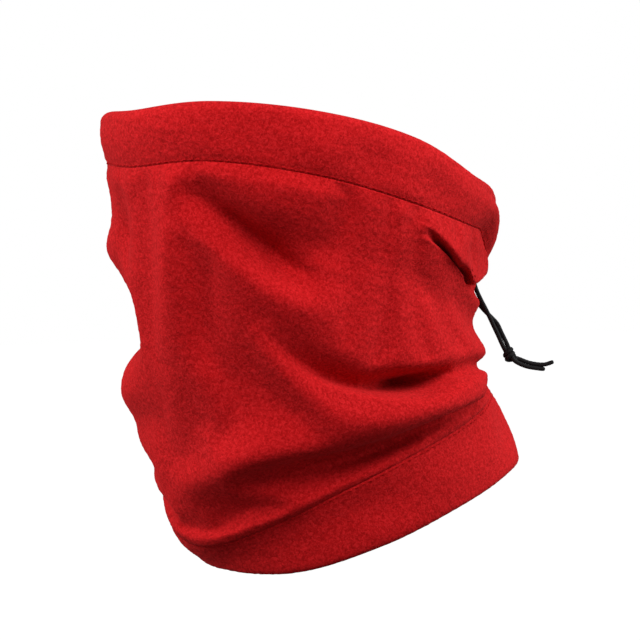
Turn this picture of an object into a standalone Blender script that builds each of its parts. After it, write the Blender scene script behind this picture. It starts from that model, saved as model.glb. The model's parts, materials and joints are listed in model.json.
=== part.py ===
"""Fleece neck gaiter with a drawcord at the nape, shaped as it is when worn.

+Z is up, the wearer faces -Y and +X is the wearer's left. The origin is on the neck's axis,
half way up the tube. A bearing is an angle around the tube: 0 at the nape, 90 at the wearer's
left and 180 at the chin.
"""
import math

import bmesh
import bpy
import numpy as np
from mathutils import Matrix, Vector

MM = 0.001

# Rings of the tube, from the lower rim to the upper rim: half width, half depth, the place of the
# oval's centre along Y and the ring's lean toward the wearer's left as a slope, then its heights
# at bearings 0, 30, 60, 90, 120, 150 and 180.
RINGS = {
    "lower_rim": (71, 79, 31, 0, (-58, -60, -64, -75, -89, -101, -103.5)),
    "lower_seam": (71, 83, 14, 0, (-27, -28, -31, -44, -62, -80, -90)),
    "upper_seam": (77, 96, -3, 0, (27, 33, 47, 60, 72, 78, 76)),
    "upper_rim": (79, 98, -4, 0.03, (53, 57, 68.5, 86.5, 97, 101, 97)),
}
WAIST = (70, 86, 2)

# The slack cloth's rolls, as (share of the height, how far the cloth stands out).
FRONT_ROLLS = ((0, 0), (0.14, 3), (0.42, 9), (0.57, 0), (0.82, 6), (0.95, 1), (1, 0))
NAPE_ROLLS = ((0, 0), (0.22, 3), (0.4, -4), (0.6, 2), (0.78, -4), (0.92, -2), (1, 0))

GAP = 0.3
LINING_GAP = 0.9
FLEECE = 2.4
STATIONS = 52
PANEL_ROWS = 12

# A hem's hollow opens between two shares of its height. Its width is the channel's at the upper
# rim and a slit's at the lower. The outer face swells a little between the seam and the rim.
CHANNEL_WIDTH = 4.4
FOLD_SLIT = 0.5
LOWER_HOLLOW = 1.1
HOLLOW_FOOT = 0.16
HOLLOW_FULL = 0.42
HEM_SWELL = 0.3
THREAD_RADIUS = 0.35

SEAM_WIDTH = 6.0
SEAM_HEIGHTS = (0.1, 0.9)
SEAM_THICKNESS = 2.0
LABEL_BEARINGS = (5, 19)
LABEL_HEIGHTS = (0.36, 0.9)
LABEL_THICKNESS = 0.5

CORD_RADIUS = 1.05
CORD_PITCH = 2.7
CHANNEL_CORD_DEPTH = 5.0

# The two eyelets. Heights in the eyelet are measured outward from the hem's outer face.
EYELET_BEARING = 4.8
EYELET_HEIGHT = 0.66
EYELET_BORE = 3.0
EYELET_BARREL = 3.4
EYELET_FLANGE = 4.5
EYELET_HOLE = 3.8
EYELET_FACE = 0.5
EYELET_METAL = 0.5
EYELET_BACK = -3.2
EYELET_LIP = (0.6, 0.25)
WASHER_THICKNESS = 0.3

# A strand's way out of the hem, as (sideways from the eyelet's axis, depth below the hem's face).
CORD_WAY_OUT = ((4.6, 5.24), (3.0, 5.34), (1.3, 5.14), (0.2, 3.84), (0, 1.8), (0, -1.5), (0.1, -3.6))
CORD_LOOP = (1.0, 1.2)

# The two strands run side by side from RUN_START to the knot, through the lock on the way.
RUN_START = Vector((-3.7, 98.6, 40.4))
RUN_STEPS = (1, 6.5, 20, 34, 48)
KNOT_CENTRE = Vector((12.0, 118.5, -13.3))
KNOT_RADIUS = 3.2
KNOT_LENGTH = 3.9
KNOT_SQUEEZE = 0.84
LOCK_ALONG_RUN = 6.5
TAIL_ENDS = {"left": Vector((25.5, 135.5, -17.0)), "right": Vector((23.0, 132.0, -20.5))}
TAIL_BOW = 2.1
TAIL_SPREAD = 1.3

# The cord lock. Heights in it are measured from its closed end toward the button.
LOCK_RADIUS = 5.6
LOCK_LENGTH = 12.2
LOCK_BORE = 4.3
LOCK_FLOOR = 1.5
LOCK_GRIP = (1.5, 4.0, 4.4, 10.6, 11.0)
LOCK_GRIP_DEPTH = 0.4
LOCK_EDGE = 1.4
PLUNGER_RADIUS = 3.95
PLUNGER_FOOT = 4.8
PLUNGER_TOP = 15.9
PLUNGER_EDGE = 1.1
PLUNGER_TRAVEL = 3.0
SPRING_POCKET = (2.9, 7.3)
CORD_SLOT_WIDTH = 5.5
CORD_WINDOW = 2.7
CORD_REST = 0.15
SLOT_CORNER = 1.1
LOCK_SLOT_CENTRE = 7.9
SPRING_WIRE = 0.25
SPRING_RADIUS = 2.1
SPRING_TURNS = 4.5
SPRING_SIDES = 11
TURNED_SIDES = 32
SMALL_TURNED_SIDES = 24


def clear_scene():
    for old in list(bpy.data.objects):
        bpy.data.objects.remove(old, do_unlink=True)


def material(name, colour, roughness, metallic=0.0):
    """A Principled material with the part's plain colour and finish."""
    made = bpy.data.materials.new(name)
    made.use_nodes = True
    shader = made.node_tree.nodes["Principled BSDF"]
    shader.inputs["Base Color"].default_value = (*colour, 1.0)
    shader.inputs["Roughness"].default_value = roughness
    shader.inputs["Metallic"].default_value = metallic
    made.diffuse_color = (*colour, 1.0)
    return made


def smooth_value(points, where):
    """A monotone-eased value between hand-placed (place, value) points."""
    places = [place for place, _ in points]
    values = [value for _, value in points]
    index = int(np.clip(np.searchsorted(places, where) - 1, 0, len(places) - 2))
    share = (where - places[index]) / (places[index + 1] - places[index])
    eased = share * share * (3 - 2 * share)
    return values[index] + (values[index + 1] - values[index]) * eased


def ring_height(heights, bearing):
    """Catmull-Rom height around a ring that is the same on the wearer's left and right."""
    step = 180 / (len(heights) - 1)
    folded = abs((bearing + 180) % 360 - 180) / step
    whole = min(int(folded), len(heights) - 2)
    share = folded - whole
    last = len(heights) - 1

    def at(index):
        index = abs(index)
        return heights[index if index <= last else 2 * last - index]

    before, start, end, after = (at(whole + shift) for shift in (-1, 0, 1, 2))
    bend = 2 * before - 5 * start + 4 * end - after
    twist = 3 * (start - end) + after - before
    return start + 0.5 * share * (end - before + share * (bend + share * twist))


def ring_point(ring, bearing):
    half_width, half_depth, centre, lean, heights = RINGS[ring]
    turn = math.radians(bearing)
    across = half_width * math.sin(turn)
    height = ring_height(heights, bearing) + lean * across
    return Vector((across, centre + half_depth * math.cos(turn), height))


def panel_point(bearing, share):
    """Outer face of the cloth between the seams, share 0 at the lower seam and 1 at the upper."""
    low = ring_point("lower_seam", bearing)
    high = ring_point("upper_seam", bearing)
    half_width, half_depth, centre = WAIST
    turn = math.radians(bearing)
    middle = Vector((half_width * math.sin(turn), centre + half_depth * math.cos(turn), 0))
    middle.z = (low.z + high.z) / 2
    near_low = (1 - share) * (1 - 2 * share)
    near_middle = 4 * share * (1 - share)
    near_high = share * (2 * share - 1)
    point = low * near_low + middle * near_middle + high * near_high
    point.z = low.z + (high.z - low.z) * share
    chin_side = (1 - math.cos(turn)) / 2
    roll = smooth_value(FRONT_ROLLS, share) * chin_side + smooth_value(NAPE_ROLLS, share) * (1 - chin_side)
    outward = Vector((math.sin(turn) / half_width, math.cos(turn) / half_depth, 0)).normalized()
    return point + outward * roll


def panel_normal(bearing, share):
    """Outward direction of the cloth, from its slopes around and up the tube."""
    around = panel_point(bearing + 0.5, share) - panel_point(bearing - 0.5, share)
    low, high = max(share - 0.01, 0), min(share + 0.01, 1)
    upward = panel_point(bearing, high) - panel_point(bearing, low)
    return upward.cross(around).normalized()


def new_object(name, mesh, finish, smooth=True):
    obj = bpy.data.objects.new(name, mesh)
    bpy.context.collection.objects.link(obj)
    mesh.materials.append(finish)
    if smooth:
        mesh.shade_smooth()
        mesh.set_sharp_from_angle(angle=math.radians(40))
    return obj


def mesh_from(name, bm):
    """Closes the bmesh into a mesh in metres with its faces pointing out."""
    bmesh.ops.recalc_face_normals(bm, faces=bm.faces)
    if bm.calc_volume(signed=True) < 0:
        bmesh.ops.reverse_faces(bm, faces=bm.faces)
    bmesh.ops.scale(bm, vec=(MM, MM, MM), verts=bm.verts)
    mesh = bpy.data.meshes.new(name)
    bm.to_mesh(mesh)
    bm.free()
    return mesh


def closed_ring(name, sections, finish):
    """Skins equal closed sections, one after another, right round the tube."""
    bm = bmesh.new()
    rows = [[bm.verts.new(point) for point in section] for section in sections]
    for index, row in enumerate(rows):
        following = rows[(index + 1) % len(rows)]
        for corner in range(len(row)):
            after = (corner + 1) % len(row)
            bm.faces.new((row[corner], row[after], following[after], following[corner]))
    return new_object(name, mesh_from(name, bm), finish)


def patch(name, bearings, shares, depths, finish):
    """A strip that follows the cloth's inner face, between two depths below the outer face."""
    bm = bmesh.new()
    layers = []
    for depth in depths:
        layers.append([[bm.verts.new(panel_point(b, s) - panel_normal(b, s) * depth)
                        for b in bearings] for s in shares])
    rows, columns = len(shares), len(bearings)
    for layer in layers:
        for r in range(rows - 1):
            for c in range(columns - 1):
                bm.faces.new((layer[r][c], layer[r][c + 1], layer[r + 1][c + 1], layer[r + 1][c]))
    rim = [(0, c) for c in range(columns)] + [(r, columns - 1) for r in range(1, rows)]
    rim += [(rows - 1, c) for c in range(columns - 2, -1, -1)] + [(r, 0) for r in range(rows - 2, 0, -1)]
    for index, (r, c) in enumerate(rim):
        next_r, next_c = rim[(index + 1) % len(rim)]
        bm.faces.new((layers[0][r][c], layers[0][next_r][next_c],
                      layers[1][next_r][next_c], layers[1][r][c]))
    return new_object(name, mesh_from(name, bm), finish)


def body_panel(finish):
    sections = []
    edge = GAP / 2 / 100
    shares = [edge + (1 - 2 * edge) * row / PANEL_ROWS for row in range(PANEL_ROWS + 1)]
    for station in range(STATIONS):
        bearing = 360 * station / STATIONS
        inward = [panel_normal(bearing, share) * FLEECE for share in shares]
        inward[0] = mitre("lower_seam", "lower_rim", bearing) * FLEECE
        inward[-1] = mitre("upper_seam", "upper_rim", bearing) * FLEECE
        outer = [panel_point(bearing, share) for share in shares]
        inner = [point - shift for point, shift in zip(outer, inward)]
        sections.append(outer + inner[::-1])
    return closed_ring("body_panel", sections, finish)


def mitre(seam, rim, bearing):
    """Outward step per unit of thickness that the cloth on both sides of a seam shares."""
    share = 1 if seam == "upper_seam" else 0
    panel_out = panel_normal(bearing, share)
    bisector = (panel_out + hem_frame(seam, rim, bearing)[2]).normalized()
    return bisector / max(bisector.dot(panel_out), 0.5)


def hem_frame(seam, rim, bearing):
    """Seam point, direction from the seam to the rim, outward direction and the hem's height."""
    foot = ring_point(seam, bearing)
    rise = ring_point(rim, bearing) - foot
    around = ring_point(seam, bearing + 0.5) - ring_point(seam, bearing - 0.5)
    outward = rise.cross(around).normalized()
    if outward.dot(Vector((foot.x, foot.y - RINGS[seam][2], 0))) < 0:
        outward.negate()
    return foot, rise.normalized(), outward, rise.length


def hem_profile(height, hollow):
    """The doubled cloth as (height, depth): outer leg, rounded rim, inner leg, hollow between."""
    thick = 2 * FLEECE + hollow
    round_off = thick / 2
    leg_top = height - round_off * 1.4
    foot, full = height * HOLLOW_FOOT, height * HOLLOW_FULL
    outer = [(GAP, 0), (height * 0.3, -HEM_SWELL), (leg_top, -HEM_SWELL)]
    turns = [math.radians(angle) for angle in range(20, 161, 28)]
    rim = [(height - round_off + round_off * math.sin(t), round_off - round_off * math.cos(t)) for t in turns]
    slit = 2 * FLEECE + FOLD_SLIT
    inner = [(leg_top, thick), (full, thick - 0.2), (foot, slit), (GAP, slit)]
    narrow = FLEECE + FOLD_SLIT
    legs = [(GAP, narrow), (foot, narrow), (full, thick - FLEECE)]
    shoulder = height - FLEECE - hollow * 0.45
    crown = [(shoulder, thick - FLEECE), (height - FLEECE, FLEECE + hollow / 2), (shoulder, FLEECE)]
    back = [(full, FLEECE), (GAP, FLEECE)]
    return outer + rim + inner + legs + crown + back


def hem(name, seam, rim, hollow, finish):
    sections = []
    for station in range(STATIONS):
        bearing = 360 * station / STATIONS
        foot, rise, outward, height = hem_frame(seam, rim, bearing)
        slant = mitre(seam, rim, bearing)
        section = []
        for up, depth in hem_profile(height, hollow):
            inward = slant if up == GAP else outward
            section.append(foot + rise * up - inward * depth)
        sections.append(section)
    return closed_ring(name, sections, finish)


def tube(name, points, radius, finish, sides=2, cyclic=False):
    """A round cord or thread along the points, as a bevelled curve with filled ends."""
    curve = bpy.data.curves.new(name, "CURVE")
    curve.dimensions = "3D"
    curve.bevel_depth = radius * MM
    curve.bevel_resolution = sides
    curve.use_fill_caps = True
    spline = curve.splines.new("POLY")
    spline.points.add(len(points) - 1)
    for slot, point in zip(spline.points, points):
        slot.co = (*(Vector(point) * MM), 1.0)
    spline.use_cyclic_u = cyclic
    spline.use_smooth = True
    obj = bpy.data.objects.new(name, curve)
    bpy.context.collection.objects.link(obj)
    curve.materials.append(finish)
    return obj


def smooth_route(points, spacing):
    """Evenly spaced points on a Catmull-Rom curve through the route's own points."""
    ends = [points[0] * 2 - points[1], *points, points[-1] * 2 - points[-2]]
    dense = []
    for first, start, end, last in zip(ends, ends[1:], ends[2:], ends[3:]):
        for step in range(20):
            share = step / 20
            bend = 2 * first - 5 * start + 4 * end - last
            twist = 3 * (start - end) + last - first
            dense.append(start + 0.5 * share * (end - first + share * (bend + share * twist)))
    dense.append(points[-1])
    lengths = np.cumsum([0] + [(b - a).length for a, b in zip(dense, dense[1:])])
    count = max(3, round(lengths[-1] / spacing) + 1)
    places = np.linspace(0, lengths[-1], count)
    axes = [np.interp(places, lengths, [point[axis] for point in dense]) for axis in range(3)]
    return [Vector(point) for point in zip(*axes)]


def hem_thread(name, seam, finish):
    reach = GAP + THREAD_RADIUS
    points = []
    for station in range(STATIONS):
        bearing = 360 * station / STATIONS
        share = 1 if seam == "upper_seam" else 0
        points.append(ring_point(seam, bearing) + panel_normal(bearing, share) * reach)
    return tube(name, points, THREAD_RADIUS, finish, sides=1, cyclic=True)


def back_seam(finish):
    half = math.degrees(SEAM_WIDTH / 2 / WAIST[0])
    bearings = [-half, 0, half]
    low, high = SEAM_HEIGHTS
    shares = [low + (high - low) * row / 14 for row in range(15)]
    start = FLEECE + LINING_GAP
    return patch("back_seam", bearings, shares, (start, start + SEAM_THICKNESS), finish)


def care_label(finish):
    first, last = LABEL_BEARINGS
    low, high = LABEL_HEIGHTS
    bearings = [first + (last - first) * column / 4 for column in range(5)]
    shares = [low + (high - low) * row / 10 for row in range(11)]
    start = FLEECE + LINING_GAP
    return patch("care_label", bearings, shares, (start, start + LABEL_THICKNESS), finish)


def eyelet_place(side):
    """Point on the hem's outer face at the eyelet, with its outward and sideways directions."""
    bearing = EYELET_BEARING * side
    foot, rise, outward, height = hem_frame("upper_seam", "upper_rim", bearing)
    point = foot + rise * height * EYELET_HEIGHT + outward * HEM_SWELL
    across = outward.cross(rise).normalized()
    if across.x * side < 0:
        across.negate()
    return point, outward, across


def turned(name, profile, place, axis, finish, sides=TURNED_SIDES):
    """Spins a closed (radius, height) profile about the axis through the place."""
    bm = bmesh.new()
    frame = Matrix.Translation(place) @ axis.to_track_quat("Z", "Y").to_matrix().to_4x4()
    rows = []
    for step in range(sides):
        turn = math.tau * step / sides
        rows.append([bm.verts.new(frame @ Vector((r * math.cos(turn), r * math.sin(turn), z)))
                     for r, z in profile])
    for index, row in enumerate(rows):
        following = rows[(index + 1) % sides]
        for corner in range(len(row)):
            after = (corner + 1) % len(row)
            bm.faces.new((row[corner], row[after], following[after], following[corner]))
    bmesh.ops.remove_doubles(bm, verts=bm.verts, dist=1e-4)
    return new_object(name, mesh_from(name, bm), finish)


def eyelet_parts(side, word, finish):
    """A flanged eyelet through the hem's outer cloth, and the washer that it is rolled over."""
    place, outward, _ = eyelet_place(side)
    top = EYELET_FACE + EYELET_METAL
    lip = EYELET_BACK - WASHER_THICKNESS - GAP
    lip_width, lip_thickness = EYELET_LIP
    eyelet = [(EYELET_BORE, lip - lip_thickness), (EYELET_BORE, top - 0.2), (EYELET_BORE + 0.3, top),
              (EYELET_FLANGE - 0.4, top), (EYELET_FLANGE, EYELET_FACE), (EYELET_BARREL, EYELET_FACE),
              (EYELET_BARREL, lip), (EYELET_BARREL + lip_width, lip),
              (EYELET_BARREL + lip_width, lip - lip_thickness)]
    turned(f"eyelet_{word}", eyelet, place, outward, finish, SMALL_TURNED_SIDES)
    inner, low = EYELET_BARREL + GAP, EYELET_BACK - WASHER_THICKNESS
    ring = [(inner, EYELET_BACK), (EYELET_FLANGE - 0.3, EYELET_BACK), (EYELET_FLANGE, low), (inner, low)]
    turned(f"eyelet_washer_{word}", ring, place, outward, finish, SMALL_TURNED_SIDES)


def cutter(name, mesh_maker, target):
    """A guide that a Boolean takes away from the target."""
    tool = mesh_maker(name)
    tool.hide_render = True
    tool.display_type = "WIRE"
    cut = target.modifiers.new(name, "BOOLEAN")
    cut.operation = "DIFFERENCE"
    cut.solver = "EXACT"
    cut.object = tool
    return tool


def eyelet_hole(side, word, target, finish):
    place, outward, _ = eyelet_place(side)
    low, high = EYELET_BACK - 1, EYELET_FACE + 1.5
    drill = [(0, low), (EYELET_HOLE, low), (EYELET_HOLE, high), (0, high)]
    cutter(f"eyelet_hole_{word}",
           lambda name: turned(name, drill, place, outward, finish, SMALL_TURNED_SIDES), target)


def run_frame():
    """Directions along the strands, across the lock and from the inner to the outer strand."""
    along = (KNOT_CENTRE - RUN_START).normalized()
    across = (Vector((1, 0, 0)) - along * along.x).normalized()
    apart = across.cross(along).normalized()
    if apart.y < 0:
        apart.negate()
    return along, across, apart


def strand_route(side):
    """From inside the hem, out through the eyelet and down the straight run to the knot."""
    place, outward, across = eyelet_place(side)
    along, _, apart = run_frame()
    offset = apart * CORD_PITCH / 2 * side
    start = [place + across * aside - outward * deep for aside, deep in CORD_WAY_OUT]
    run = [RUN_START + along * step + offset for step in RUN_STEPS]
    finish = KNOT_CENTRE - along * (KNOT_LENGTH + GAP) + offset * KNOT_SQUEEZE
    out, up = CORD_LOOP
    middle = (start[-1] + run[0]) / 2 + outward * out + Vector((0, 0, up))
    return start + [middle] + run + [finish]


def cord_strands(finish):
    for side, word in ((1, "left"), (-1, "right")):
        tube(f"cord_strand_{word}", smooth_route(strand_route(side), 1.7), CORD_RADIUS, finish)


def channel_cord(finish):
    """Elastic cord inside the upper hem, from one eyelet round the neck to the other."""
    turn = EYELET_BEARING + math.degrees((CORD_WAY_OUT[0][0] + 3 * GAP) / RINGS["upper_rim"][0])
    count = 60
    points = []
    for step in range(count):
        bearing = turn + (360 - 2 * turn) * step / (count - 1)
        foot, rise, outward, height = hem_frame("upper_seam", "upper_rim", bearing)
        points.append(foot + rise * height * EYELET_HEIGHT - outward * CHANNEL_CORD_DEPTH)
    return tube("channel_cord", points, CORD_RADIUS, finish)


def cord_knot(finish):
    """Overhand knot in both strands, a ball with a waist where the loop wraps it."""
    along, _, _ = run_frame()
    profile = [(0, -KNOT_LENGTH)]
    for step in range(1, 12):
        turn = math.pi * step / 12
        swell = 1 - 0.12 * math.cos(2 * turn) ** 2
        profile.append((KNOT_RADIUS * math.sin(turn) * swell, -KNOT_LENGTH * math.cos(turn)))
    profile.append((0, KNOT_LENGTH))
    return turned("cord_knot", profile, KNOT_CENTRE, along, finish, sides=20)


def cord_tails(finish):
    """The two cut ends beyond the knot, curving away from the nape."""
    along, _, apart = run_frame()
    for side, word in ((1, "left"), (-1, "right")):
        start = KNOT_CENTRE + along * (KNOT_LENGTH + GAP) + apart * TAIL_SPREAD * side
        end = TAIL_ENDS[word]
        route = [start, start + along * TAIL_BOW, start.lerp(end, 0.5) + along * TAIL_BOW, end]
        tube(f"cord_tail_{word}", smooth_route(route, 3.0), CORD_RADIUS, finish)


def lock_frame():
    """Lock placement: local Z from the closed end to the button, Y along the strands."""
    along, across, apart = run_frame()
    button_way = -across
    cord_place = LOCK_SLOT_CENTRE + CORD_WINDOW / 2 + CORD_REST
    base = RUN_START + along * LOCK_ALONG_RUN - button_way * cord_place
    return base, button_way, along, apart


def slot_cutter(name, centre_height, target, finish):
    """Oval slot through the lock for both strands, long enough for the plunger's travel."""
    base, button_way, along, apart = lock_frame()
    length = CORD_WINDOW + PLUNGER_TRAVEL

    def make(tool_name):
        bm = bmesh.new()
        half, wide = length / 2 - SLOT_CORNER, CORD_SLOT_WIDTH / 2 - SLOT_CORNER
        outline = []
        for corner_x, corner_y, first in ((1, 1, 0), (-1, 1, 90), (-1, -1, 180), (1, -1, 270)):
            for angle in (first, first + 45, first + 90):
                turn = math.radians(angle)
                outline.append((corner_x * half + SLOT_CORNER * math.cos(turn),
                                corner_y * wide + SLOT_CORNER * math.sin(turn)))
        centre = base + button_way * centre_height
        ends = []
        for reach in (-LOCK_RADIUS - 2, LOCK_RADIUS + 2):
            middle = centre + along * reach
            ends.append([bm.verts.new(middle + button_way * u + apart * v) for u, v in outline])
        bm.faces.new(ends[0])
        bm.faces.new(ends[1])
        for index in range(len(outline)):
            after = (index + 1) % len(outline)
            bm.faces.new((ends[0][index], ends[0][after], ends[1][after], ends[1][index]))
        return new_object(tool_name, mesh_from(tool_name, bm), finish, smooth=False)

    cutter(name, make, target)


def cord_lock(shell_finish, button_finish, spring_finish):
    """Spring cord lock: a cup, the button that pinches both strands, and the spring below it."""
    base, button_way, _, _ = lock_frame()
    foot_top, waist_low, waist_foot, waist_head, waist_high = LOCK_GRIP
    waist = LOCK_RADIUS - LOCK_GRIP_DEPTH
    cup = [(0, 0), (LOCK_RADIUS - LOCK_EDGE, 0), (waist, LOCK_EDGE / 3), (LOCK_RADIUS, foot_top),
           (LOCK_RADIUS, waist_low), (waist, waist_foot), (waist, waist_head), (LOCK_RADIUS, waist_high),
           (LOCK_RADIUS, LOCK_LENGTH - LOCK_EDGE / 3), (LOCK_RADIUS - LOCK_EDGE / 3, LOCK_LENGTH),
           (LOCK_BORE, LOCK_LENGTH), (LOCK_BORE, LOCK_FLOOR), (0, LOCK_FLOOR)]
    barrel = turned("cord_lock_barrel", cup, base, button_way, shell_finish)
    slot_cutter("barrel_slot", LOCK_SLOT_CENTRE, barrel, shell_finish)

    pocket_radius, pocket_top = SPRING_POCKET
    bevel = PLUNGER_EDGE / 3
    button = [(pocket_radius, PLUNGER_FOOT), (PLUNGER_RADIUS - bevel, PLUNGER_FOOT),
              (PLUNGER_RADIUS, PLUNGER_FOOT + bevel), (PLUNGER_RADIUS, PLUNGER_TOP - PLUNGER_EDGE),
              (PLUNGER_RADIUS - bevel, PLUNGER_TOP - bevel), (PLUNGER_RADIUS - PLUNGER_EDGE, PLUNGER_TOP),
              (0, PLUNGER_TOP), (0, pocket_top), (pocket_radius, pocket_top)]
    plunger = turned("cord_lock_plunger", button, base, button_way, button_finish)
    slot_cutter("plunger_slot", LOCK_SLOT_CENTRE + PLUNGER_TRAVEL, plunger, button_finish)

    frame = Matrix.Translation(base) @ button_way.to_track_quat("Z", "Y").to_matrix().to_4x4()
    low, high = LOCK_FLOOR + GAP + SPRING_WIRE, pocket_top - GAP - SPRING_WIRE
    count = round(SPRING_TURNS * SPRING_SIDES)
    coil = []
    for step in range(count + 1):
        turn = math.tau * SPRING_TURNS * step / count
        height = low + (high - low) * step / count
        coil.append(frame @ Vector((SPRING_RADIUS * math.cos(turn), SPRING_RADIUS * math.sin(turn), height)))
    tube("cord_lock_spring", coil, SPRING_WIRE, spring_finish, sides=1)


def build():
    clear_scene()
    fleece = material("red_fleece", (0.55, 0.012, 0.016), 0.95)
    thread = material("red_thread", (0.42, 0.01, 0.014), 0.8)
    label = material("white_satin_label", (0.8, 0.8, 0.78), 0.5)
    cord = material("black_elastic_cord", (0.012, 0.012, 0.014), 0.8)
    metal = material("black_metal", (0.03, 0.03, 0.032), 0.4, metallic=1.0)
    plastic = material("black_plastic", (0.02, 0.02, 0.022), 0.45)
    steel = material("spring_steel", (0.6, 0.6, 0.62), 0.3, metallic=1.0)

    body_panel(fleece)
    upper = hem("upper_hem", "upper_seam", "upper_rim", CHANNEL_WIDTH, fleece)
    hem("lower_hem", "lower_seam", "lower_rim", LOWER_HOLLOW, fleece)
    hem_thread("upper_hem_thread", "upper_seam", thread)
    hem_thread("lower_hem_thread", "lower_seam", thread)
    back_seam(fleece)
    care_label(label)
    for side, word in ((1, "left"), (-1, "right")):
        eyelet_hole(side, word, upper, fleece)
        eyelet_parts(side, word, metal)
    channel_cord(cord)
    cord_strands(cord)
    cord_knot(cord)
    cord_tails(cord)
    cord_lock(plastic, plastic, steel)


build()
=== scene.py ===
"""Looks of a red fleece neck gaiter with a black elastic drawcord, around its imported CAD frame."""
import json
import math

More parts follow.
